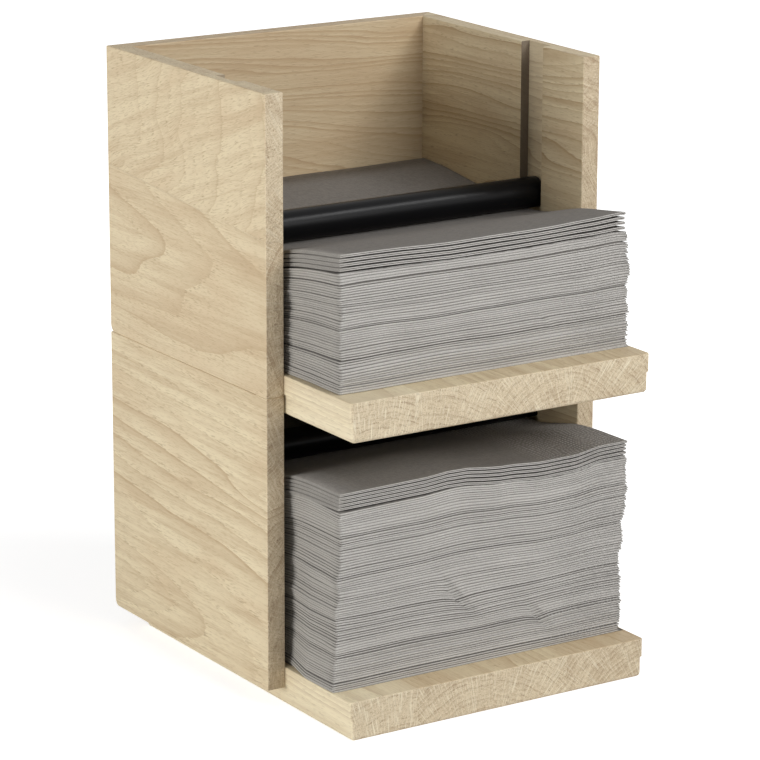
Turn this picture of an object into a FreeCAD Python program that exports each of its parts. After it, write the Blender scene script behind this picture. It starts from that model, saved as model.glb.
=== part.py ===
import FreeCAD, Part
import math
import os

# A desk holder for paper napkins: two equal oak units that stack, each with a black steel bar that
# weighs the napkins down. Millimetres, +Z up. The origin is the middle of the underside: x is
# measured from the middle of the width, y from the middle of the depth, and -y is the front.

os.makedirs("parts", exist_ok=True)

# ---- panels and board of one unit ----
holder_width = 195.0        # over the outer faces of the side panels
panel_depth = 155.0         # front edge of a side panel to the outer face of the rear panel
panel_height = 149.0        # also the pitch of the stacked units
panel_thickness = 10.0
board_thickness = 20.0
board_overhang = 60.0       # how far the board stands out in front of the panels
stave_count = 4             # glued strips in one board: the middle ones are equal
first_stave_width = 38.5    # the strips at both sides are trimmed
last_stave_width = 47.5

# ---- how one unit nests in the unit below ----
nest_depth = 9.5            # how far the board reaches below the panels
nest_side_play = 1.0        # rebate along each side of the board's lower half
nest_rear_play = 3.5        # rebate along its rear end
nest_step_play = 1.0        # the rebate reaches this much above the panels' bottom edge

# ---- eased edges ----
panel_edge_round = 0.6
board_edge_round = 0.6      # top edges
board_foot_round = 2.0      # corners and bottom edges
rear_foot_round = 4.0       # bottom edge along the back

# ---- hidden joinery ----
dowel_diameter = 6.0
dowel_length = 20.0
dowel_depth_in_panel = 6.0
dowel_end_room = 0.5        # glue room past each end of a dowel
spline_width = 7.0          # across the mitre
spline_thickness = 2.5
spline_end_inset = 15.0     # the slot stops this far short of the panel's top and bottom
glue_gap = 0.05

# ---- weight bar and its grooves ----
bar_diameter = 16.0
bar_end_chamfer = 0.8
bar_end_play = 1.0          # from each end of the bar to the groove's floor
groove_width = 19.0
groove_depth = 5.0
groove_setback = 44.5       # groove's middle, behind the panel's front edge

# ---- napkins ----
stack_left_room = 4.0       # from the left panel to the napkins
stack_right_room = 1.0      # they are pushed over to the right
stack_setback = 16.0        # from the board's front to the napkins' front
stack_rear_room = 4.0       # from the napkins to the rear panel
loose_count = 4             # napkins that lie loose on the pressed stack
loose_thickness = 2.0
soft_gap = 0.3              # between layers, and under the bar
lower_front_height = 100.0  # top of the lower napkins over the board, at their front edge
lower_mid_height = 98.0     # in line with the panels' front edge
lower_bar_height = 91.0     # pressed down under the bar
lower_rear_height = 97.0
upper_front_height = 68.0
upper_mid_height = 62.0
upper_bar_height = 53.5
upper_rear_height = 62.5

# ---- places that follow from the sizes ----
half_width = holder_width / 2
inner_half_width = half_width - panel_thickness
board_front_y = -(board_overhang + panel_depth) / 2
panel_front_y = board_front_y + board_overhang
rear_outer_y = panel_front_y + panel_depth
rear_inner_y = rear_outer_y - panel_thickness
bar_y = panel_front_y + groove_setback
groove_front_y = bar_y - groove_width / 2
groove_rear_y = bar_y + groove_width / 2
step_z = nest_depth + nest_step_play
dowel_z = (step_z + board_thickness) / 2
stack_left_x = -inner_half_width + stack_left_room
stack_right_x = inner_half_width - stack_right_room
stack_front_y = board_front_y + stack_setback
stack_rear_y = rear_inner_y - stack_rear_room
loose_pitch = loose_thickness + soft_gap

written_volumes = {}


def vec(x, y, z):
    return FreeCAD.Vector(x, y, z)


def box(x_low, x_high, y_low, y_high, z_low, z_high):
    return Part.makeBox(x_high - x_low, y_high - y_low, z_high - z_low, vec(x_low, y_low, z_low))


def prism(outline, z_low, z_high):
    """A solid of the given (x, y) outline between two heights."""
    corners = [vec(x, y, z_low) for x, y in outline]
    face = Part.Face(Part.makePolygon(corners + corners[:1]))
    return face.extrude(vec(0, 0, z_high - z_low))


def fillet_where(solid, radius, wanted):
    """Rounds the edges whose two end points satisfy the given test."""
    edges = [e for e in solid.Edges if wanted(e.Vertexes[0].Point, e.Vertexes[-1].Point)]
    return solid.makeFillet(radius, edges)


def same(a, b):
    return abs(a - b) < 1e-6


def write(node, shape):
    """One STEP file per node, and one printed line that says what went into it."""
    shape.exportStep(os.path.join("parts", node + ".step"))
    written_volumes[node] = shape.Volume
    print(f"{node}: {len(shape.Solids)} solid(s), {shape.Volume / 1000:.2f} cm3")


def on_both_sides(piece):
    """The piece and its mirror image in the plane x = 0."""
    return [piece, piece.mirror(vec(0, 0, 0), vec(1, 0, 0))]


# ---- joinery that the wood is cut for ----

def dowel(start, direction, radius, length):
    return Part.makeCylinder(radius, length, start, direction)


def side_dowel_places():
    """Distances along y: one dowel in front of the groove and two behind it."""
    in_front = (panel_front_y + groove_front_y) / 2
    behind = rear_inner_y - groove_rear_y
    return [in_front, groove_rear_y + behind / 4, groove_rear_y + behind * 3 / 4]


def stave_spans():
    """The (left, right) edges of the strips across the board."""
    first_joint = -inner_half_width + first_stave_width
    last_joint = inner_half_width - last_stave_width
    middle_count = stave_count - 2
    joints = [first_joint + (last_joint - first_joint) * i / middle_count for i in range(middle_count + 1)]
    edges = [-inner_half_width] + joints + [inner_half_width]
    return list(zip(edges[:-1], edges[1:]))


def dowels(radius, room):
    """Dowels from the board into the side panels, then into the rear panel. Room lengthens each end."""
    length = dowel_length + 2 * room
    start = inner_half_width + dowel_depth_in_panel + room
    side = []
    for y in side_dowel_places():
        side += on_both_sides(dowel(vec(start, y, dowel_z), vec(-1, 0, 0), radius, length))
    start = rear_inner_y + dowel_depth_in_panel + room
    rear = []
    for left, right in stave_spans():
        rear.append(dowel(vec((left + right) / 2, start, dowel_z), vec(0, -1, 0), radius, length))
    return side, rear


def mitre_spline(play):
    """The strip across the right-hand mitre, in the middle of the joint and stopped at both ends."""
    width = spline_width + 2 * play
    thickness = spline_thickness + 2 * play
    low = nest_depth + spline_end_inset - play
    high = nest_depth + panel_height - spline_end_inset + play
    strip = box(-width / 2, width / 2, -thickness / 2, thickness / 2, low, high)
    strip.rotate(vec(0, 0, 0), vec(0, 0, 1), -45)
    middle_x = inner_half_width + panel_thickness / 2
    middle_y = rear_inner_y + panel_thickness / 2
    strip.translate(vec(middle_x, middle_y, 0))
    return strip


# ---- wooden pieces of one unit, at the height of the lower unit ----

def rear_foot_cutter():
    """What the round along the back's bottom edge takes away."""
    r = rear_foot_round
    corner = box(-half_width, half_width, rear_outer_y - r, rear_outer_y, nest_depth, nest_depth + r)
    axis_start = vec(-half_width, rear_outer_y - r, nest_depth + r)
    return corner.cut(Part.makeCylinder(r, holder_width, axis_start, vec(1, 0, 0)))


def right_panel(cutters):
    """A side panel with its groove, mitred at the back."""
    outline = [
        (inner_half_width, panel_front_y),
        (half_width, panel_front_y),
        (half_width, rear_outer_y),
        (inner_half_width, rear_inner_y),
    ]
    top_z = nest_depth + panel_height
    panel = prism(outline, nest_depth, top_z)

    def eased(a, b):
        front = same(a.y, panel_front_y) and same(b.y, panel_front_y)
        outer = same(a.x, half_width) and same(b.x, half_width) and same(a.z, b.z)
        inner = same(a.x, inner_half_width) and same(b.x, inner_half_width) and same(a.z, b.z)
        return front or outer or inner

    panel = fillet_where(panel, panel_edge_round, eased)
    floor_x = inner_half_width + groove_depth
    groove = box(inner_half_width - 1, floor_x, groove_front_y, groove_rear_y, nest_depth - 1, top_z + 1)
    return panel.cut([groove, rear_foot_cutter()] + cutters)


def rear_panel(cutters):
    """The panel across the back, mitred into both side panels."""
    outline = [
        (-inner_half_width, rear_inner_y),
        (inner_half_width, rear_inner_y),
        (half_width, rear_outer_y),
        (-half_width, rear_outer_y),
    ]
    panel = prism(outline, nest_depth, nest_depth + panel_height)

    def eased(a, b):
        level = same(a.z, b.z) and same(a.y, b.y)
        bottom_outside = same(a.z, nest_depth) and same(a.y, rear_outer_y)
        return level and not bottom_outside

    panel = fillet_where(panel, panel_edge_round, eased)
    return panel.cut([rear_foot_cutter()] + cutters)


def board():
    """The whole base board: its lower half is rebated on three sides, so that it nests."""
    upper = box(-inner_half_width, inner_half_width, board_front_y, rear_inner_y, step_z, board_thickness)

    def upper_corner(a, b):
        return same(a.y, board_front_y) and same(b.y, board_front_y) and not same(a.z, b.z)

    def upper_top(a, b):
        outside = same(a.y, board_front_y) or not same(a.y, b.y)
        return same(a.z, board_thickness) and same(b.z, board_thickness) and outside

    upper = fillet_where(upper, board_foot_round, upper_corner)
    upper = fillet_where(upper, board_edge_round, upper_top)
    lower_half = inner_half_width - nest_side_play
    lower = box(-lower_half, lower_half, board_front_y, rear_inner_y - nest_rear_play, 0, step_z)

    def lower_outside(a, b):
        return (same(a.z, 0) and same(b.z, 0)) or not same(a.z, b.z)

    lower = fillet_where(lower, board_foot_round, lower_outside)
    return upper.fuse(lower).removeSplitter()


def staves(cutters):
    """The board's strips, from left to right."""
    whole = board().cut(cutters)
    pieces = []
    for left, right in stave_spans():
        strip = box(left, right, board_front_y - 1, rear_inner_y + 1, -1, board_thickness + 1)
        pieces.append(whole.common(strip))
    return pieces


# ---- bar and napkins of one unit ----

def bar(resting_z):
    """A round bar across the unit, its ends in the grooves, lying at the given height."""
    radius = bar_diameter / 2
    half_length = inner_half_width + groove_depth - bar_end_play
    left_end = vec(-half_length, bar_y, resting_z + radius)
    rod = Part.makeCylinder(radius, 2 * half_length, left_end, vec(1, 0, 0))
    return rod.makeChamfer(bar_end_chamfer, [e for e in rod.Edges if same(e.Length, 2 * math.pi * radius)])


def top_line(front, mid, under_bar, rear, lowered):
    """The napkins' upper side, seen from the side: two curves that meet level under the bar."""
    z = board_thickness - lowered
    pressed = vec(0, bar_y, z + under_bar)
    before = Part.BSplineCurve()
    before.interpolate(
        Points=[vec(0, stack_front_y, z + front), vec(0, panel_front_y, z + mid), pressed],
        InitialTangent=vec(0, panel_front_y - stack_front_y, mid - front),
        FinalTangent=vec(0, bar_y - panel_front_y, 0),
    )
    behind = Part.BSplineCurve()
    behind.interpolate(
        Points=[pressed, vec(0, stack_rear_y, z + rear)],
        InitialTangent=vec(0, stack_rear_y - bar_y, 0),
        FinalTangent=vec(0, stack_rear_y - bar_y, 0),
    )
    return [before.toShape(), behind.toShape()]


def between(top_edges, bottom_edges):
    """A solid as wide as the napkins, between an upper and a lower line."""
    upper_front, upper_rear = top_edges[0].Vertexes[0].Point, top_edges[-1].Vertexes[-1].Point
    lower_front, lower_rear = bottom_edges[0].Vertexes[0].Point, bottom_edges[-1].Vertexes[-1].Point
    ends = [Part.makeLine(upper_front, lower_front), Part.makeLine(upper_rear, lower_rear)]
    wire = Part.Wire(Part.__sortEdges__(top_edges + bottom_edges + ends))
    solid = Part.Face(wire).extrude(vec(stack_right_x - stack_left_x, 0, 0))
    solid.translate(vec(stack_left_x, 0, 0))
    return solid


def pressed_stack(heights):
    """The napkins that lie pressed together on the board."""
    floor = Part.makeLine(vec(0, stack_front_y, board_thickness), vec(0, stack_rear_y, board_thickness))
    return between(top_line(*heights, loose_count * loose_pitch), [floor])


def loose_napkins(heights):
    """The napkins on top, each a folded square that follows the one below."""
    layers = []
    for i in range(loose_count):
        over = top_line(*heights, i * loose_pitch)
        under = top_line(*heights, i * loose_pitch + loose_thickness)
        layers.append(between(over, under))
    return Part.makeCompound(layers)


# ---- both units ----

def write_unit(name, base_z, heights):
    """All the nodes of one unit, lifted to the height at which it stands."""
    snug = dowel_diameter / 2
    side_dowels, rear_dowels = dowels(snug, 0)
    side_holes, rear_holes = dowels(snug + glue_gap, dowel_end_room)
    slots = on_both_sides(mitre_spline(glue_gap))
    splines = on_both_sides(mitre_spline(0))
    panels = on_both_sides(right_panel(side_holes + slots))
    nodes = {
        "right_panel": panels[0],
        "left_panel": panels[1],
        "rear_panel": rear_panel(rear_holes + slots),
        "side_dowels": Part.makeCompound(side_dowels),
        "rear_dowels": Part.makeCompound(rear_dowels),
        "right_corner_spline": splines[0],
        "left_corner_spline": splines[1],
        "weight_bar": bar(board_thickness + heights[2] + soft_gap),
        "napkin_stack": pressed_stack(heights),
        "loose_napkins": loose_napkins(heights),
    }
    for number, stave in enumerate(staves(side_holes + rear_holes), start=1):
        nodes[f"board_stave_{number}"] = stave
    for node, shape in nodes.items():
        shape.translate(vec(0, 0, base_z))
        write(f"{name}_{node}", shape)


lower_heights = (lower_front_height, lower_mid_height, lower_bar_height, lower_rear_height)
upper_heights = (upper_front_height, upper_mid_height, upper_bar_height, upper_rear_height)
write_unit("lower", 0, lower_heights)
write_unit("upper", panel_height, upper_heights)
print(f"{len(written_volumes)} nodes, {sum(written_volumes.values()) / 1000:.0f} cm3 in all")
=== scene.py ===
# %% [markdown]
# # A stackable holder for paper napkins
#
# The real object is a pair of equal oak units, one standing on the other. Each unit is an open tray:
# a base board of four glued strips that reaches out in front, two side panels and a rear panel. A
# black steel bar lies across the napkins, with its ends in grooves of the side panels, and weighs
# them down.
#
# The wood and the bars come from the CAD model, where their sizes and joints are settled. They could
# be modelled again here, but then they might drift away from the parts that move. So this lesson
# only gives them their finish, and models what CAD is poor at: soft folded paper.

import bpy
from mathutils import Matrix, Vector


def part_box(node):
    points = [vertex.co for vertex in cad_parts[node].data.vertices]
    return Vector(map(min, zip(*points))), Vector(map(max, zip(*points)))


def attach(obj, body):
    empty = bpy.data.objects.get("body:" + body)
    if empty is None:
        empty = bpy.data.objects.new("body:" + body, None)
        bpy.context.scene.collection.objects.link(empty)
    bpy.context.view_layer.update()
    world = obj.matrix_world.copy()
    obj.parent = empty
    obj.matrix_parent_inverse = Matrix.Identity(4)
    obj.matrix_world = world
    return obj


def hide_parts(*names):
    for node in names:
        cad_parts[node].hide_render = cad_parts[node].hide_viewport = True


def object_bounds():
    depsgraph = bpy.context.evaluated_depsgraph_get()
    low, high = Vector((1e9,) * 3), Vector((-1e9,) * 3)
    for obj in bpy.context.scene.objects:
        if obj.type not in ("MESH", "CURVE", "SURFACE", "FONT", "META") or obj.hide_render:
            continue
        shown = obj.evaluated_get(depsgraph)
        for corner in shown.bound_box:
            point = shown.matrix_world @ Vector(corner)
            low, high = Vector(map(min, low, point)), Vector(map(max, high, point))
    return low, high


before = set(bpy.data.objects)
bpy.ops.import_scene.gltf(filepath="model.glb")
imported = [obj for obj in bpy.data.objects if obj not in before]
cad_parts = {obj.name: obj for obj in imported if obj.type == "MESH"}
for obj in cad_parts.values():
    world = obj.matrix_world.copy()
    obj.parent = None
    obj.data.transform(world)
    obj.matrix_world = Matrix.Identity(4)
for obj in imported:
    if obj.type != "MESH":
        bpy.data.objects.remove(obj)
cad_low, cad_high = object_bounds()

# %% Modules, units and the plain view transform
import math
import random

import bmesh
import bpy
from mathutils import Matrix, Vector, noise
from mathutils.bvhtree import BVHTree

mm = 0.001
scene = bpy.context.scene
scene.view_settings.view_transform = "Standard"
print("the holder measures", [round(side / mm, 1) for side in cad_high - cad_low], "mm")

# %% [markdown]
# ## Camera
#
# A product picture is taken from far away with a long lens, so that upright edges stay almost
# parallel. The camera stands to the left of the open front and a little above it. Its place could be
# given by an empty that it tracks, but three angles are shorter and say exactly where it looks.

# %% Camera
camera_place = Vector((-0.9556, -1.4748, 0.6254))
camera_azimuth = math.radians(32.891)      # from +Y towards +X
camera_elevation = math.radians(15.351)    # how far it looks down
camera_roll = math.radians(0.188)
sensor_width = 36.0
focal_length = 170.29

camera = bpy.data.objects.new("camera", bpy.data.cameras.new("camera"))
scene.collection.objects.link(camera)
camera.data.sensor_width = sensor_width
camera.data.lens = focal_length
aim = Matrix.Rotation(-camera_azimuth, 4, "Z") @ Matrix.Rotation(math.pi / 2 - camera_elevation, 4, "X")
camera.matrix_world = Matrix.Translation(camera_place) @ aim @ Matrix.Rotation(camera_roll, 4, "Z")
scene.camera = camera
print("the camera stands", round(camera_place.length, 2), "m from the holder's foot")

# %% [markdown]
# ## Numbers that vary over a surface
#
# A material is a net of nodes, and sums written as nodes soon become hard to read. One small class
# wraps a node's output and overloads the arithmetic signs, so that shader maths reads like any other
# expression. A second class holds the material under construction and makes every other node with
# one method: its type, its settings, then its inputs.

# %% A value that can be reckoned with
class Value:
    """One output of a node. Arithmetic on values adds Math nodes."""

    def __init__(self, finish, socket):
        self.finish = finish
        self.socket = socket

    def math(self, operation, *operands):
        return self.finish.node("ShaderNodeMath", {"operation": operation}, dict(enumerate(operands)))

    def __add__(self, other):
        return self.math("ADD", self, other)

    def __sub__(self, other):
        return self.math("SUBTRACT", self, other)

    def __mul__(self, other):
        return self.math("MULTIPLY", self, other)

    def __truediv__(self, other):
        return self.math("DIVIDE", self, other)

    def __pow__(self, other):
        return self.math("POWER", self, other)

    def __rsub__(self, other):
        return self.math("SUBTRACT", other, self)

    __radd__ = __add__
    __rmul__ = __mul__

    def rise(self, start, end):
        """0 below start, 1 above end, and a smooth step between them. Start may be the larger."""
        settings = {"interpolation_type": "SMOOTHSTEP"}
        inputs = {"Value": self, "From Min": start, "From Max": end}
        return self.finish.node("ShaderNodeMapRange", settings, inputs)


# %% A material under construction
class Finish:
    """A new material. Lengths inside it are millimetres in the holder's own frame."""

    def __init__(self, name):
        self.material = bpy.data.materials.new(name)
        self.material.use_nodes = True
        self.tree = self.material.node_tree
        self.tree.nodes.clear()

    def node(self, kind, settings=None, inputs=None, output=0):
        made = self.tree.nodes.new(kind)
        for setting, choice in (settings or {}).items():
            setattr(made, setting, choice)
        for key, given in (inputs or {}).items():
            if isinstance(given, Value):
                self.tree.links.new(given.socket, made.inputs[key])
            else:
                made.inputs[key].default_value = given
        return Value(self, made.outputs[output]) if made.outputs else None

    def place(self):
        """Where the surface is: x, y and z in millimetres."""
        metres = self.node("ShaderNodeTexCoord", output="Object")
        scaled = self.node("ShaderNodeVectorMath", {"operation": "SCALE"}, {0: metres, "Scale": 1 / mm})
        return [self.node("ShaderNodeSeparateXYZ", {}, {0: scaled}, axis) for axis in "XYZ"]

    def facing(self):
        """The surface's direction: the x, y and z of its normal."""
        normal = self.node("ShaderNodeTexCoord", output="Normal")
        return [self.node("ShaderNodeSeparateXYZ", {}, {0: normal}, axis) for axis in "XYZ"]

    def point(self, x, y, z):
        return self.node("ShaderNodeCombineXYZ", {}, {"X": x, "Y": y, "Z": z})

    def noise(self, x, y, z, detail=2.0, roughness=0.5):
        """Cloudy noise about 0.5, with lumps one unit wide."""
        inputs = {"Vector": self.point(x, y, z), "Scale": 1.0, "Detail": detail, "Roughness": roughness}
        return self.node("ShaderNodeTexNoise", {}, inputs)

    def mix(self, amount, first, second):
        """Two colours, mixed by the amount."""
        inputs = {0: amount, 6: first, 7: second}
        return self.node("ShaderNodeMix", {"data_type": "RGBA"}, inputs, 2)

    def bump(self, height, depth):
        """The normal of a surface that stands out by height times depth millimetres."""
        return self.node("ShaderNodeBump", {}, {"Height": height, "Distance": depth * mm})

    def surface(self, **inputs):
        """Ends the material. Underscores in the names of its inputs stand for spaces."""
        named = {name.replace("_", " "): given for name, given in inputs.items()}
        shader = self.node("ShaderNodeBsdfPrincipled", {}, named)
        self.node("ShaderNodeOutputMaterial", {}, {"Surface": shader})
        return self.material


def paint(red, green, blue):
    return (red, green, blue, 1.0)


# %% [markdown]
# ## Studio
#
# The holder stands on a white floor that runs out of sight. A big soft lamp from the left lights the
# outer side, a second one from the front and above reaches into the trays, and a dim sky fills the
# shadows. A small lamp far to the right does one thing: it draws a line of light along each black
# bar, because a rod only mirrors what lies on the other side of it from the eye.
#
# The floor could be lit until it clips to white, but that light would bounce up and bleach the wood.
# So the floor is plain pale paint, and the camera and reflections see it glow as well: least round
# the holder's foot, where the shadow lies.

# %% Floor
def light_path(finish):
    """1 for rays from the camera, from gloss or through glass, 0 for the light that falls on things."""
    kinds = "Camera", "Glossy", "Transmission"
    eye, gloss, glass = [finish.node("ShaderNodeLightPath", output=f"Is {kind} Ray") for kind in kinds]
    return eye.math("MAXIMUM", eye, gloss.math("MAXIMUM", gloss, glass))


white = paint(1.0, 1.0, 1.0)
floor_paint = paint(0.80, 0.80, 0.80)
foot_glow = 0.68
far_glow = 1.0
shadow_reach = 200.0, 700.0      # from the middle of the floor, in mm
floor_reach = 30.0               # in metres

studio_floor = Finish("studio_floor")
x, y, z = studio_floor.place()
far = ((x * x + y * y) ** 0.5).rise(*shadow_reach)
floor_glow = (far * (far_glow - foot_glow) + foot_glow) * light_path(studio_floor)
paper = studio_floor.node("ShaderNodeBsdfDiffuse", {}, {"Color": floor_paint})
glow = studio_floor.node("ShaderNodeEmission", {}, {"Color": white, "Strength": floor_glow})
both = studio_floor.node("ShaderNodeAddShader", {}, {0: paper, 1: glow})
studio_floor.node("ShaderNodeOutputMaterial", {}, {"Surface": both})

floor_mesh = bpy.data.meshes.new("floor")
shape = bmesh.new()
bmesh.ops.create_grid(shape, x_segments=1, y_segments=1, size=floor_reach)
shape.to_mesh(floor_mesh)
shape.free()
floor_mesh.materials.append(studio_floor.material)
floor = bpy.data.objects.new("floor", floor_mesh)
scene.collection.objects.link(floor)
print("the floor reaches", floor_reach, "m each way")

# %% Sky
sky_white = 1.0      # above the horizon, as the camera sees it
sky_gloss = 0.8      # as it is mirrored
sky_fill = 0.24      # as it lights things

scene.world = bpy.data.worlds.new("studio_sky")
scene.world.use_nodes = True


class Sky(Finish):
    """The world's own nodes, made with the same method."""

    def __init__(self, world):
        self.tree = world.node_tree
        self.tree.nodes.clear()


sky = Sky(scene.world)
camera_ray = sky.node("ShaderNodeLightPath", output="Is Camera Ray")
seen = light_path(sky)
strength = camera_ray * (sky_white - sky_gloss) + seen * sky_gloss + (1 - seen) * sky_fill
dome = sky.node("ShaderNodeBackground", {}, {"Color": white, "Strength": strength})
sky.node("ShaderNodeOutputWorld", {}, {"Surface": dome})
print("the sky lights the holder with", sky_fill, "of its full white")

# %% Lamps
holder_middle = (cad_low + cad_high) / 2


def soft_lamp(name, azimuth, elevation, distance, size, power):
    """A square lamp that looks at the holder. Azimuth 0 is the open front, 90 the left side."""
    lamp = bpy.data.objects.new(name, bpy.data.lights.new(name, "AREA"))
    scene.collection.objects.link(lamp)
    lamp.data.size = size
    lamp.data.energy = power
    turn, tilt = math.radians(azimuth), math.radians(elevation)
    away = Vector((-math.sin(turn) * math.cos(tilt), -math.cos(turn) * math.cos(tilt), math.sin(tilt)))
    aim = away.to_track_quat("Z", "Y").to_matrix().to_4x4()
    lamp.matrix_world = Matrix.Translation(holder_middle + away * distance) @ aim


soft_lamp("left_lamp", azimuth=86, elevation=6, distance=1.7, size=0.8, power=18.5)
soft_lamp("front_lamp", azimuth=-14, elevation=29, distance=1.9, size=0.8, power=19.0)
soft_lamp("right_lamp", azimuth=-47, elevation=46, distance=1.8, size=0.42, power=7.0)
print("two lamps light the left side and the front, and a small one gives the bars their glint")

# %% [markdown]
# ## Oak
#
# Oak is a solid with an inner order: rings about the heart of the trunk, rays that run out from the
# heart, and long pores that follow the grain. A board is a slice of that solid, so a flat face shows
# arches and stripes, and an end shows arcs. The pattern could be painted on each face apart, but
# then it would break at every edge. Here it fills the wood instead: each board only says which way
# its grain runs and where the heart of its tree was.
#
# The rings come from the distance to the heart. Noise that is long along the grain makes them wander
# as in a real trunk. The sharp start of a ring is its porous early wood, which looks like a darker
# line. Pores are one noise, drawn out along the grain: ticks on a face, dots on an end.

# %% Colours and places in the wood
straw = paint(0.740, 0.640, 0.430)
ring_brown = paint(0.455, 0.330, 0.185)
rosy = paint(0.580, 0.435, 0.265)
tan = paint(0.465, 0.325, 0.192)
cream = paint(0.900, 0.820, 0.630)
end_straw = paint(0.640, 0.535, 0.370)
end_brown = paint(0.370, 0.270, 0.165)
ray_pale = paint(0.780, 0.710, 0.540)
pore_brown = paint(0.260, 0.175, 0.100)
sawn_and_shaded_brown = paint(0.150, 0.118, 0.085)

front_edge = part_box("lower_left_panel")[0].y / mm        # of the side panels
inner_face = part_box("lower_right_panel")[0].x / mm       # of the side panels, either way from x = 0
groove_floor = inner_face + 5.0                          # the grooves take the bars' ends
print("the side panels stand", round(2 * inner_face, 1), "mm apart")

# %% Oak as a solid
class Oak(Finish):
    """Oak with its grain along x or y. The heart is a place across the grain, (level, upright), in mm,
    and lean is how fast it moves away across and up, per mm of grain."""

    def __init__(self, name, grain, heart, lean, seed):
        super().__init__(name)
        self.seed = seed
        self.x, y, self.z = self.place()
        self.along, self.level = (self.x, y) if grain == "x" else (y, self.x)
        self.across = self.level - heart[0] - self.along * lean[0]
        self.upright = self.z - heart[1] - self.along * lean[1]
        facing_x, facing_y, facing_z = self.facing()
        lengthways = facing_x if grain == "x" else facing_y
        self.end = lengthways.math("ABSOLUTE", lengthways).rise(0.55, 0.85)
        self.sideways = facing_x.math("ABSOLUTE", facing_x).rise(0.5, 0.9)
        self.fibre_level = self.z
        self.softness, self.ticks = 1.0, 0.0

    def grow(self, ring, sway, swells):
        """Counts the years from the heart. Ring is a year's growth and sway how far the rings wander,
        in mm. A swell bends them round a place: (along, upright, length, height, mm of growth)."""
        along, across, upright, seed = self.along, self.across, self.upright, self.seed
        self.slow = self.noise(along / 190 + seed, across / 45, upright / 38, detail=1.5) - 0.5
        self.quick = self.noise(along / 60 + seed, across / 9, upright / 9, detail=3.0, roughness=0.6)
        self.quick = self.quick - 0.5
        self.reach = (across * across + upright * upright) ** 0.5
        self.growth = self.reach + self.slow * (sway * 4) + self.quick * 2.5
        for middle_along, middle_up, length, height, amount in swells:
            ahead, above = (along - middle_along) / length, (self.z - middle_up) / height
            swell = along.math("EXPONENT", ahead * ahead * -1 + above * above * -1)
            self.growth = self.growth + swell * amount
        self.years = self.growth / ring

    def turn(self, edge, edge_rise, slope, middle, width):
        """Turns the part above an edge: its rings close round a middle and its fibres slope."""
        along, z = self.along, self.z
        beyond = (z - along * edge_rise).rise(edge - 0.5, edge + 0.5)
        ahead, above = along - middle[0], (z - middle[1]) * 1.5
        whirl = ((ahead * ahead + above * above) ** 0.5 + self.quick * 8 + self.slow * 60) / width
        self.years = self.years + (whirl - self.years) * beyond
        curl = self.noise(along / 48 + self.seed, self.level / 30, z / 24, detail=1.0) - 0.5
        self.fibre_level = z + along * slope * beyond + curl * beyond * 9
        self.softness, self.ticks = 1 - beyond * 0.45, beyond * 0.10

    def ripen(self):
        """Marks the seasons: early wood is full of pores, and some years show more than others."""
        season = self.years.math("FRACT", self.years)
        year = self.years.math("FLOOR", self.years)
        strength = self.noise(year * 7.3, self.seed, 0.0, detail=0.0).rise(0.35, 0.65)
        ripening = (season.rise(0.10, 1.0) * 0.60 + season.rise(0.84, 0.97) * 0.40) * self.softness
        self.ring_mark = ripening * (0.12 + strength * 0.88)
        self.early = (1 - season) ** 5.0

    def draw_fibres(self):
        """What runs along the grain: pores, fibres, bands of fibres and darker patches."""
        along, level, up, seed = self.along, self.level, self.fibre_level, self.seed
        self.pores = self.noise(along / 4.5, level / 0.60 + seed, up / 0.50, detail=1.0)
        self.pores = self.pores.rise(0.52, 0.68)
        self.fibres = self.noise(along / 34, level / 0.9, up / 0.8 + seed, detail=4.0, roughness=0.7)
        self.bands = self.noise(along / 110, level / 8 + seed, up / 5, detail=3.0, roughness=0.6)
        self.patches = self.noise(along / 55 + seed, level / 18, up / 16, detail=2.0).rise(0.42, 0.72)

    def face_colour(self, mark, tone, groove_light_and_shade):
        """The wood along its grain. Mark is how strongly its rings show, and tone makes it darker."""
        streaks = (self.fibres - 0.5) * 1.3 + (self.bands - 0.5) * 1.9 + 0.14
        face = self.mix(self.patches * 0.46, straw, rosy)
        face = self.mix(self.ring_mark * mark, face, ring_brown)
        face = self.mix(streaks, face, ring_brown)
        face = self.mix(self.pores * (0.16 + self.early * 0.40 + self.ticks), face, pore_brown)
        face = self.mix(abs(tone), face, tan if tone > 0 else cream)
        if not groove_light_and_shade:
            return face
        # A groove's floor is painted a little paler: painted light, as the narrow groove lets little
        # light in.
        aside = self.x.math("ABSOLUTE", self.x)
        painted_floor_light = aside.rise(inner_face + 0.5, inner_face + 1.3)
        painted_floor_light = painted_floor_light * aside.rise(groove_floor + 0.2, groove_floor + 0.05) * self.sideways
        return self.mix(painted_floor_light * groove_light_and_shade * 0.20, face, cream)

    def end_colour(self, tone, groove_light_and_shade):
        """The wood across its grain: arcs of rings, pale rays that cross them, and pores as dots."""
        along, across, seed = self.along, self.across, self.seed
        round_way = across.math("ARCTAN2", across, self.upright) * 60
        rays = self.noise(round_way / 0.42, self.reach / 9, along / 7 + seed, detail=1.0)
        broad_rays = self.noise(round_way / 0.8, self.reach / 26 + seed, along / 16, detail=0.0)
        arcs = self.noise(round_way / 4, self.growth / 0.45, along / 7 + seed, roughness=0.6)
        checks = self.noise(round_way / 5, self.years, along / 9 + seed, detail=1.0).rise(0.53, 0.66)
        dots = self.noise(along / 7, self.level / 0.95 + seed, self.z / 0.95, detail=1.0)
        shade = self.ring_mark * 0.75 + self.patches * 0.30 - 0.12 + (arcs - 0.5) * 1.9 + tone
        holes = self.pores * (0.36 + self.early * 0.40) + dots.rise(0.48, 0.62) * 0.20
        holes = holes + checks * self.early * 0.7
        shine = rays.rise(0.52, 0.70) * 0.58 + broad_rays.rise(0.70, 0.76) * 0.45
        shine = shine * (1 - tone * 1.8)
        butt = self.mix(shade, end_straw, end_brown)
        butt = self.mix(holes, butt, pore_brown)
        butt = self.mix(shine, butt, ray_pale)
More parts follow.
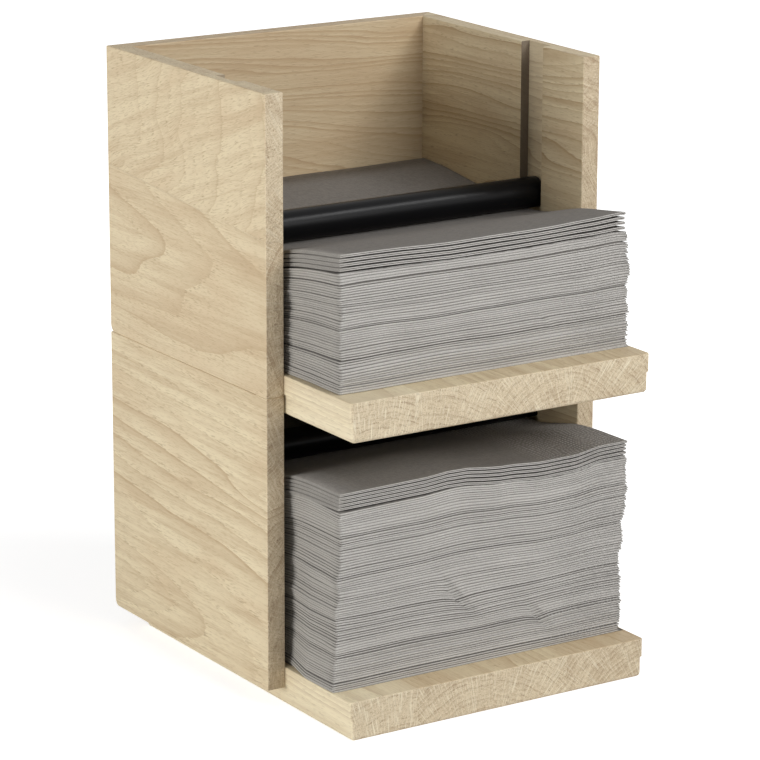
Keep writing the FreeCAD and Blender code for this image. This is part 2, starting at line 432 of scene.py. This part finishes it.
        # Behind the front edge an end shows only inside a groove. There it is painted darker: rough sawn
        # end grain, and painted shade in the narrow groove.
        sawn_and_shaded = along.rise(front_edge + 0.5, front_edge + 1.5) * groove_light_and_shade
        return self.mix(sawn_and_shaded, butt, sawn_and_shaded_brown)


# %% The oak finish
def oak(name, grain, heart, lean, ring, sway, tone, end_tone, seed, mark=0.88, groove_light_and_shade=0.0,
        swells=(), turned=None):
    """Oak from a tree of its own. Tone darkens its faces and end_tone its ends. The groove number paints
    a groove's floor paler, as painted light, and its rough ends darker, partly as painted shade."""
    wood = Oak(name, grain, heart, lean, seed)
    wood.grow(ring, sway, swells)
    if turned:
        wood.turn(*turned)
    wood.ripen()
    wood.draw_fibres()
    face = wood.face_colour(mark, tone, groove_light_and_shade)
    colour = wood.mix(wood.end, face, wood.end_colour(end_tone, groove_light_and_shade))
    height = wood.fibres * 0.25 - wood.pores * 0.6 - wood.early * 0.2
    roughness = 0.52 + wood.pores * 0.16 + wood.early * 0.08
    return wood.surface(Base_Color=colour, Roughness=roughness, Normal=wood.bump(height, 0.08))


def dress(node, material):
    """Gives a CAD node its finish."""
    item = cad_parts[node]
    if not item.material_slots:
        item.data.materials.append(material)
    for slot in item.material_slots:
        slot.material = material


print("oak can be cut from any tree")

# %% Every board from its own tree
outer = dict(grain="y", sway=4.0, groove_light_and_shade=0.5)
inner = dict(grain="y", sway=8.0, groove_light_and_shade=0.9, end_tone=0.40, mark=1.20, tone=0.15)
rear = dict(grain="x", sway=5.0, end_tone=0.2, mark=1.55)
board_trees = {
    "lower_left_panel": dict(
        outer, heart=(-40.0, 22.0), lean=(-0.10, 0.02), ring=8.5, tone=0.14, end_tone=0.36, seed=3.1,
        swells=[(112, 30, 78, 13, -17), (-62, 107, 46, 7, 16), (60, 62, 60, 18, 4)],
    ),
    "upper_left_panel": dict(
        outer, heart=(-42.0, 202.0), lean=(-0.13, 0.12), ring=8.0, tone=0.24, end_tone=0.30, seed=8.4,
        swells=[(100, 215, 60, 10, -9), (110, 165, 50, 12, 8)],
        turned=(239.0, 0.07, 0.33, (112, 284), 11.0),
    ),
    "lower_right_panel": dict(inner, heart=(36.0, 60.0), lean=(0.06, -0.10), ring=2.8, seed=12.7),
    "upper_right_panel": dict(inner, heart=(34.0, 215.0), lean=(0.08, -0.12), ring=2.9, seed=16.2),
    "lower_rear_panel": dict(
        rear, heart=(150.0, 80.0), lean=(0.05, 0.03), ring=2.0, tone=0.50, seed=21.9,
    ),
    "upper_rear_panel": dict(
        rear, heart=(160.0, 205.0), lean=(0.05, -0.04), ring=1.8, tone=0.48, seed=26.3,
    ),
}
for node, tree in board_trees.items():
    dress(node, oak("oak_" + node, **tree))
print(len(board_trees), "panels are dressed")

# %% The strips of the two base boards
# For each strip: how far away its heart was, in mm, at which angle from straight down, in degrees,
# and its tone.
strip_hearts = {
    "lower": [(75, 8, -0.20), (62, 22, 0.30), (58, -27, 0.20), (60, 40, 0.42)],
    "upper": [(80, -6, -0.26), (64, -18, 0.14), (50, 33, 0.22), (62, -40, 0.32)],
}
strip_seeds = {"lower": 36.0, "upper": 38.9}
for unit, hearts in strip_hearts.items():
    for number, (away, angle, tone) in enumerate(hearts, start=1):
        node = f"{unit}_board_stave_{number}"
        low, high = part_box(node)
        middle = (low + high) / 2 / mm
        angle = math.radians(angle)
        heart = (middle.x + away * math.sin(angle), middle.z - away * math.cos(angle))
        end_tone = max(tone, 0) * 0.5 - 0.08
        seed = strip_seeds[unit] + number * 5.7
        strip = dict(lean=(0.02, 0.03), ring=2.6, sway=2.0, tone=tone, end_tone=end_tone, seed=seed)
        dress(node, oak("oak_" + node, "y", heart, **strip))
print(sum(len(hearts) for hearts in strip_hearts.values()), "strips are dressed")

# %% [markdown]
# ## Hidden joinery
#
# Dowels and corner splines are turned and sawn from plain beech. They are hidden once the holder is
# glued up, and they show when its pieces are looked at one by one. Beech has fine short flecks and
# hardly any rings, so a calmer version of the same idea is enough.

# %% Beech for dowels and splines
beech_pale = paint(0.70, 0.50, 0.33)
beech_warm = paint(0.58, 0.38, 0.23)
fleck_brown = paint(0.45, 0.27, 0.15)


def beech(name, grain):
    wood = Finish(name)
    lump = [14 if axis == grain else 0.7 for axis in "xyz"]      # long along the grain
    long, wide, tall = [place / size for place, size in zip(wood.place(), lump)]
    fibres = wood.noise(long, wide, tall, detail=3.0)
    flecks = wood.noise(long * 3, wide * 3, tall * 3, detail=0.0).rise(0.6, 0.7)
    colour = wood.mix(fibres.rise(0.3, 0.7), beech_pale, beech_warm)
    colour = wood.mix(flecks * 0.5, colour, fleck_brown)
    return wood.surface(Base_Color=colour, Roughness=0.55 + flecks * 0.1, Normal=wood.bump(fibres, 0.05))


beech_x = beech("beech_along_x", "x")
beech_y = beech("beech_along_y", "y")
beech_z = beech("beech_along_z", "z")
for unit in ("lower", "upper"):
    dress(f"{unit}_side_dowels", beech_x)
    dress(f"{unit}_rear_dowels", beech_y)
    dress(f"{unit}_left_corner_spline", beech_z)
    dress(f"{unit}_right_corner_spline", beech_z)
print("dowels and splines are dressed")

# %% [markdown]
# ## Weight bars
#
# Each bar is a steel rod with a satin black coat. A plain black shader would look like plastic foil:
# real coating has a faint orange-peel skin, its gloss varies, and it rubs thin where the bar slides
# in its grooves.

# %% Satin black coating
bar_black = paint(0.004, 0.004, 0.0045)
rubbed_grey = paint(0.090, 0.085, 0.080)
rubbed_length = 4.0      # at each end

coating = Finish("bar_coating")
x, y, z = coating.place()
skin = coating.noise(x / 0.9, y / 0.9, z / 0.9, detail=2.0)
clouds = coating.noise(x / 18, y / 6, z / 6, detail=2.0)
bar_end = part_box("upper_weight_bar")[1].x / mm
rubbed = x.math("ABSOLUTE", x).rise(bar_end - rubbed_length, bar_end) * skin.rise(0.45, 0.6)
coating.surface(
    Base_Color=coating.mix(rubbed * 0.35, bar_black, rubbed_grey),
    Roughness=0.25 + clouds * 0.10,
    Specular_IOR_Level=0.13,
    Normal=coating.bump(skin, 0.02),
)
for unit in ("lower", "upper"):
    dress(f"{unit}_weight_bar", coating.material)
print("both bars are coated")

# %% [markdown]
# ## Paper napkins
#
# Each napkin is a sheet of soft tissue, folded in half and in half again. Its front edge is a pair of
# rounded folds, and its left edge is four loose plies. A cloth simulation could fold and drop such
# sheets, but folds that are pressed this tight hardly move any more. So they are bent by sums, which
# give the same napkins each time. Two kinds of model stand for them.
#
# The napkins deep in the stack are pressed so tight that only their edges show. One skin stands for
# them all: it starts as the grid of the topmost face, and round it hangs a wall that goes out over
# each fold and back into the gap below it.
#
# The top napkins lie loose, so each one is a real folded sheet: a flat grid, bent twice.

# %% Tissue
edge_grey = paint(0.582, 0.562, 0.531)
# The side and top greys are painted shade on the same paper as the front folds.
shaded_side_grey = paint(0.425, 0.403, 0.365)
shaded_top_grey = paint(0.200, 0.186, 0.170)
gap_shade_grey = paint(0.110, 0.101, 0.092)
crushed_shade_grey = paint(0.055, 0.050, 0.045)
emboss_pitch = 2.0
emboss_border = 30, 42      # where the pressed border of a napkin starts, in mm along x
emboss_top = 210, 140       # only the lower napkins show it
# The fold number is painted shade: the tissue turns darker deep in a gap.
gap_shade_attribute = "fold"          # a number at each vertex: 1 out on a fold, 0 deep in a gap

# Where the folds were crushed: x and z, the size of the place and its step down, all in mm.
crushed_places = {"lower": [(-14, 58, 10, 2.8), (36, 38, 8, 2.6)], "upper": [(34, 190, 5, 0.8)]}
crushed_slope = 0.9         # how fast the crushed line moves to the right on its way down
# The dark gaps of a crushed place are painted shade.
crushed_shade_reach = 1.7         # how far its dark gaps reach, in mm

tissue = Finish("tissue")
x, y, z = tissue.place()
facing_x, facing_y, facing_z = tissue.facing()
flat = facing_z.math("ABSOLUTE", facing_z).rise(0.55, 0.9)
beside = facing_x.math("ABSOLUTE", facing_x).rise(0.3, 0.8)
fold = tissue.node("ShaderNodeAttribute", {"attribute_name": gap_shade_attribute}, {}, "Fac")

fluff = tissue.noise(x / 0.5, y / 0.5, z / 0.5, detail=2.0)
mottle = tissue.noise(x / 2.5, y / 2.5, z / 2.5, detail=2.0)
stains = tissue.noise(x / 25, y / 25, z / 12, detail=2.0)
nicks = tissue.noise(x / 0.9, y / 0.9, z / 0.5, detail=0.0).rise(0.52, 0.70)
nicks = nicks * x.rise(35, 60) * (1 - flat)

wander = (tissue.noise(x / 14, y / 14, z / 14, detail=1.0) - 0.5) * 3.0
emboss_place = tissue.point(x / emboss_pitch + wander, y / emboss_pitch - wander, 0.0)
emboss_cells = {"Vector": emboss_place, "Scale": 1.0, "Randomness": 0.22}
emboss = tissue.node("ShaderNodeTexVoronoi", {"voronoi_dimensions": "2D"}, emboss_cells)
border = x.rise(*emboss_border) * z.rise(*emboss_top)
dimples = emboss.rise(0.42, 0.12) * flat * (border * 0.90 + 0.10)

shade = (fluff - 0.5) * 0.6 + (stains - 0.5) * 0.25 + (mottle - 0.5) * flat * 1.05
# The nicks are bumped, and painted darker too: painted shade in the emboss on the folds.
shade = shade + nicks * 0.16 + 0.2
# Sides and tops are painted darker greys than the front folds: painted shade, for the weaker light that
# falls on them.
colour = tissue.mix(beside, edge_grey, shaded_side_grey)
colour = tissue.mix(flat, colour, shaded_top_grey)
# Painted shade: deep in the gaps between napkins the tissue turns to the gap grey.
colour = tissue.mix(1 - fold, colour, gap_shade_grey)
colour = tissue.mix(shade, colour, gap_shade_grey)
# The dimples are bumped, and painted paler too: painted light on their relief.
colour = tissue.mix(dimples * 0.46, colour, edge_grey)
# Painted shade: the crushed gaps of the lower stack are painted dark.
for at_x, at_z, size, step in crushed_places["lower"]:
    aside = (x - at_x + (z - at_z) * crushed_slope) / crushed_shade_reach
    above = (z - at_z) / size
    pinched_shade = x.math("EXPONENT", aside * aside * -1 - above * above) * (1 - flat)
    colour = tissue.mix(pinched_shade * (1 - fold * 0.88), colour, crushed_shade_grey)
skin = fluff * 0.5 + mottle + dimples * 2.2 - nicks
tissue.surface(Base_Color=colour, Roughness=0.92, Normal=tissue.bump(skin, 0.12))
print("tissue is ready")

# %% The shape of a stack, read from the CAD model
def upper_side(node):
    """A function that gives the height of a node's upper side at a distance y."""
    low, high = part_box(node)
    tree = BVHTree.FromObject(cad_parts[node], bpy.context.evaluated_depsgraph_get())
    middle_x = (low.x + high.x) / 2
    steps = 90
    room = 0.05 * mm
    heights = []
    for i in range(steps + 1):
        y = low.y + room + (high.y - low.y - 2 * room) * i / steps
        heights.append(tree.ray_cast(Vector((middle_x, y, high.z + mm)), Vector((0, 0, -1)))[0].z)

    def height(y):
        at = min(max((y - low.y - room) / (high.y - low.y - 2 * room), 0), 1) * steps
        first = min(int(at), steps - 1)
        return heights[first] + (heights[first + 1] - heights[first]) * (at - first)

    return height


soft_nodes = [unit + kind for unit in ("lower", "upper") for kind in ("_napkin_stack", "_loose_napkins")]
upper_sides = {node: upper_side(node) for node in soft_nodes}
print("read the upper side of", len(upper_sides), "soft nodes")

# %% Waves and slopes
def wave(x, y, z, seed):
    """Smooth noise from about -1 to 1 at a place in its own units."""
    return noise.noise(Vector((x, y, z + seed * 17.3))) * 1.6


def bell(distance, reach):
    """1 in the middle and near 0 beyond the reach."""
    return math.exp(-((distance / reach) ** 2))


def fade(distance, full, gone):
    """1 up to the distance where it is full, falling to 0 at the distance where it is gone."""
    return max(0.0, min(1.0, (gone - distance) / (gone - full)))


# How high the front edge of the top napkin stands above a level line: places along x, both in mm.
front_waves = {
    "lower": [
        (-83, 0.0), (-40, 0.6), (-17, 1.8), (12, -0.8), (36, -2.6), (52, -2.4), (72, 0.2), (87, 0.3),
    ],
    "upper": [(-83, 0.0), (-50, -0.4), (-20, -1.0), (20, -1.0), (60, -0.3), (80, 0.4), (87, 0.0)],
}
front_wave_reach = 50 * mm


def front_wave(unit, x, behind):
    """The height of that wave at x. It dies away behind the front edge."""
    places = front_waves[unit]
    x = min(max(x / mm, places[0][0]), places[-1][0])
    for (start, first), (end, last) in zip(places, places[1:]):
        if x <= end:
            share = (x - start) / (end - start)
            share = share * share * (3 - 2 * share)
            return (first + (last - first) * share) * mm * bell(behind, front_wave_reach)


def drawn_in(place, low, high, amount):
    """Pulls the right end of the front inwards by the amount."""
    pull = amount * fade(place.y - low.y, 20 * mm, 60 * mm) * max(0.0, place.x) / high.x
    return Vector((place.x - pull, place.y))


print("the lower front edge rises by", round(front_wave("lower", -17 * mm, 0.0) / mm, 2), "mm")

# %% The levels of a stack's wall
napkin_pitch = 1.25 * mm
narrow_gaps = 0.40, 0.50, 0.60, 0.75, 1.3       # how deep the gap above a napkin is, in mm
wide_gap = 3.2                                  # between two groups of napkins
nose_steps = [0.00, 0.13, 0.34, 0.66, 0.87]     # down one napkin, from gap to gap
nose_depths = [1.00, 0.30, 0.00, 0.00, 0.30]    # how far in, as a share of the gap's depth


def layer_edges(count, chance, groups):
    """For each napkin, from the top: where it starts and ends, the depth of the gap above it, and
    whether that gap is wide. Groups say where the wide ones are."""
    shares = [chance.uniform(0.82, 1.18) for _ in range(count)]
    total = sum(shares)
    gaps = [chance.choice(narrow_gaps) for _ in range(count)]
    done = 0.0
    layers = []
    for share, gap in zip(shares, gaps):
        start = done / total
        done += share
        wide = any(start <= group < done / total for group in groups)
        layers.append((start, done / total, wide_gap if wide else gap, wide))
    return layers


def wall_levels(count, groups, seed):
    """From the top: the share of the way down, the depth in, the slip, the number of the napkin, and
    the light that reaches it."""
    chance = random.Random(seed)
    levels = [(0.0, 0.0, Vector((0, 0)), 0, 1.0)]
    group_slip = Vector((0, 0))
    for layer, (start, end, gap, wide) in enumerate(layer_edges(count, chance, groups)):
        slip = Vector((chance.gauss(0, 0.26), chance.gauss(0, 0.18))) * mm
        slip += Vector((wave(layer * 0.17, 0, 0, seed), wave(layer * 0.13, 4, 0, seed))) * 0.7 * mm
        if wide:
            group_slip = Vector((chance.uniform(-1.0, 1.0), chance.uniform(-1.0, 0.5))) * mm
        for step, depth in zip(nose_steps, nose_depths):
            down = start + (end - start) * step
            light = 1 - depth * (1.0 if wide else 0.72)
            levels.append((down, gap * depth * mm, slip + group_slip, layer, light))
    levels.append((1.0, 0.0, Vector((0, 0)), count, 0.4))
    return levels


def rim(low, high, columns, rows):
    """Points round a rectangle, front left first, and the way out at each of them."""
    corners = [(low.x, low.y), (high.x, low.y), (high.x, high.y), (low.x, high.y)]
    ways = [(0, -1), (1, 0), (0, 1), (-1, 0)]
    points = []
    for side, steps in enumerate((columns, rows, columns, rows)):
        start, end = Vector(corners[side]), Vector(corners[(side + 1) % 4])
        for i in range(steps):
            way = Vector(ways[side]) if i else Vector(ways[side]) + Vector(ways[side - 1])
            points.append((start.lerp(end, i / steps), way))
    return points


print("a napkin's edge takes", len(nose_steps), "levels")

# %% How a stack hangs
class Stack:
    """The pressed napkins of one unit. Lean is how far the front of their foot stands to the right,
    and narrow how much less wide their top is, in mm."""

    def __init__(self, unit, lean, narrow, seed):
        self.unit, self.lean, self.narrow, self.seed = unit, lean * mm, narrow * mm, seed
        self.node = f"{unit}_napkin_stack"
        self.low, self.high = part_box(self.node)
        self.top = upper_sides[self.node]
        self.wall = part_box(f"{unit}_right_panel")[0].x - 0.3 * mm

    def height(self, place, down):
        """How high a point stands, the given share of the way from the top to the foot."""
        rise = front_wave(self.unit, place.x, place.y - self.low.y)
        tall = self.top(place.y) + rise * (1 - down) - self.low.z
        return self.low.z + tall * (1 - down)

    def crush(self, x, z):
        """On the front: how far in the folds are crushed at a point, and the height it falls to."""
        inward = 0.0
        for at_x, at_z, size, step in crushed_places[self.unit]:
            aside = x - at_x * mm + (z - at_z * mm) * crushed_slope
            near = bell(z - at_z * mm, size * mm)
            inward += near * bell(aside, 2.2 * mm) * step * 0.6 * mm
            z -= step * mm * near * math.exp(-abs(aside) / (size * 0.45 * mm))
        return inward, z

    def knock(self, place, layer):
        """How far a napkin's front left corner is knocked in."""
        corner = bell((place - Vector((self.low.x, self.low.y))).length, 9 * mm)
        depth = wave(layer * 0.23, 2.5, 0, self.seed + 3) * 2.0 * mm
        depth += abs(wave(layer * 0.09, 6.5, 0, self.seed)) * 1.0 * mm
        return Vector((0.5, 0.8)) * corner * depth

    def drape(self, place, way, level):
        """Where a point of the rim goes at a level of the wall, and its fold number, which paints shade
        into the gaps.
        """
        down, inward, slip, layer, light = level
        front = way.y < -0.5
        softness = 1.0 if front else 0.8
        z = self.height(place, down)
        if 0 < down < 1:
            crushed, z = self.crush(place.x, z) if front else (0.0, z)
            ripple = wave(place.x / 0.03, place.y / 0.03, layer * 0.9, self.seed) * 0.14 * mm
            bulge = wave(place.x / 0.08, place.y / 0.08, down * 3.0, self.seed + 5) * 0.9 * mm
            tilt = Vector((self.lean * down * fade(place.y - self.low.y, 25 * mm, 45 * mm), 0))
            way_out = way * (ripple + bulge - inward * softness - crushed)
            place = place + tilt + slip + way_out - self.knock(place, layer)
            if place.y > (front_edge - 1) * mm:      # between the side panels
                place.x = min(max(place.x, -self.wall), self.wall)
        place = drawn_in(place, self.low, self.high, self.narrow * (1 - down))
        sag = wave(place.x / 0.05, place.y / 0.09, down * 2.2, self.seed + 9) * mm
        z += sag * math.sin(math.pi * down)
        return Vector((place.x, place.y, z)), 1 - (1 - light) * softness


lower_stack = Stack("lower", lean=-4.6, narrow=0.0, seed=4)
upper_stack = Stack("upper", lean=1.2, narrow=3.0, seed=11)
room = lower_stack.wall - lower_stack.high.x
print("the napkins have", round(room / mm, 2), "mm of room on each side")

# %% The pressed napkins
def tissue_piece(shape, name):
    """Turns a finished shape into a piece made of tissue."""
    bmesh.ops.recalc_face_normals(shape, faces=shape.faces)
    for face in shape.faces:
        face.smooth = True
    mesh = bpy.data.meshes.new(name)
    shape.to_mesh(mesh)
    shape.free()
    mesh.materials.append(tissue.material)
    piece = bpy.data.objects.new(name, mesh)
    scene.collection.objects.link(piece)
    return piece


def pressed_napkins(stack, groups, columns=80, rows=38):
    """One closed skin. Groups are the shares of the way down at which the wide gaps lie."""
    unit, node, low, high = stack.unit, stack.node, stack.low, stack.high
    count = round((stack.top(low.y) - low.z) / napkin_pitch)
    levels = wall_levels(count, groups, stack.seed)
    points = rim(low, high, columns, rows)

    shape = bmesh.new()
    fold = shape.verts.layers.float.new(gap_shade_attribute)
    bmesh.ops.create_grid(shape, x_segments=columns, y_segments=rows, size=0.5)
    for v in shape.verts:
        share_x, share_y = v.co.x + 0.5, v.co.y + 0.5
        place = Vector((low.x + share_x * (high.x - low.x), low.y + share_y * (high.y - low.y)))
        v.co = (*drawn_in(place, low, high, stack.narrow), stack.height(place, 0.0))
        v[fold] = 1.0
    wall = bmesh.ops.create_grid(shape, x_segments=len(points), y_segments=len(levels) - 1, size=0.5)
    for v in wall["verts"]:
        place, way = points[round((v.co.x + 0.5) * len(points)) % len(points)]
        v.co, v[fold] = stack.drape(place, way, levels[round((0.5 - v.co.y) * (len(levels) - 1))])
    bmesh.ops.remove_doubles(shape, verts=shape.verts, dist=0.002 * mm)
    foot = [e for e in shape.edges if e.is_boundary and e.verts[0].co.z < low.z + 0.01 * mm]
    bmesh.ops.edgeloop_fill(shape, edges=foot)
    open_edges = sum(e.is_boundary for e in shape.edges)

    piece = tissue_piece(shape, f"{unit}_pressed_napkins")
    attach(piece, f"{unit}_unit")
    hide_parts(node)
    print(piece.name, "are", count, "and have", open_edges, "open edges")


pressed_napkins(lower_stack, groups=(0.14, 0.36, 0.61, 0.80, 0.95))
pressed_napkins(upper_stack, groups=(0.10, 0.46, 0.72))

# %% The loose napkins
plies = 4
sheet_steps = 88
packing = 0.76      # a folded napkin's share of its pitch
ply_share = 0.66    # the paper's share of a ply
bar_middle_y = sum(corner.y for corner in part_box("lower_weight_bar")) / 2


def away_from_bar(y):
    """0 under the bar and 1 well away from it, so that what is loose stays clear of the bar."""
    return 1 - bell(y - bar_middle_y, 22 * mm)


def spread(share, length, tight=5.0):
    """A place along a sheet, from -length to length, with more points near the fold at 0."""
    return length * math.sinh(tight * share) / math.sinh(tight)


def bend(distance, radius, offset):
    """Round a fold: how far back from its outermost place a point lies, and its height."""
    turn = math.pi / 2 * radius
    if abs(distance) <= turn:
        angle = distance / radius
        return radius - (radius + offset) * math.cos(angle), (radius + offset) * math.sin(angle)
    return radius + abs(distance) - turn, math.copysign(radius + offset, distance)


def loose_napkin(unit, number, pitch, narrow, corner_lift, seed):
    """A sheet folded in half towards the front and again towards the right. Number 0 lies on top."""
    node = f"{unit}_loose_napkins"
    low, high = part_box(node)
    half_width, half_depth = high.x - low.x, high.y - low.y      # of the open sheet
    top = upper_sides[node]
    chance = random.Random(seed * 31 + number)
    slip_x, slip_y = chance.uniform(-0.8, 0.2) * mm, chance.uniform(-0.3, 0.5) * mm
    thickness = pitch * packing * mm
    ply_pitch = thickness / plies
    first_radius = ply_pitch / 2
    second_radius = ply_pitch       # to the middle of the doubled sheet
    middle = -thickness / 2 - number * pitch * mm

    shape = bmesh.new()
    fold = shape.verts.layers.float.new(gap_shade_attribute)
    bmesh.ops.create_grid(shape, x_segments=sheet_steps, y_segments=sheet_steps, size=1.0)
    for v in shape.verts:
        behind, ply = bend(spread(v.co.y, half_depth), first_radius, 0.0)
        beside, height = bend(spread(v.co.x, half_width), second_radius, ply)
        y = low.y + behind + slip_y
        x = high.x - second_radius / 2 - beside + slip_x
        x = drawn_in(Vector((x, y)), low, high, narrow * mm).x
        near_right, near_front = (x - high.x) / (45 * mm) + 1, (low.y - y) / (30 * mm) + 1
        lift = wave(x / 0.05, y / 0.05, number * 0.2, seed) * 0.4 * mm * away_from_bar(y)
        lift += front_wave(unit, x, y - low.y)
        lift += corner_lift * mm * max(0.0, near_right) * max(0.0, near_front) * (1 - 0.22 * number)
        v.co = Vector((x, y, top(y) + middle + height + lift))
        # Away from its folds the sheet is painted a little darker: painted shade between the plies.
        v[fold] = 1.0 if min(behind, beside) < 0.45 * mm else 0.85

    piece = tissue_piece(shape, f"{unit}_loose_napkin_{number + 1}")
    paper = piece.modifiers.new("ply", "SOLIDIFY")
    paper.thickness = ply_pitch * ply_share
    paper.offset = 0.0
    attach(piece, f"{unit}_unit")
    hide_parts(node)


for number in range(5):
    loose_napkin("lower", number, pitch=1.85, narrow=0.0, corner_lift=0.0, seed=2)
for number in range(4):
    loose_napkin("upper", number, pitch=2.25, narrow=4.2, corner_lift=0.6, seed=7)
print("five and four loose napkins, each a folded sheet")
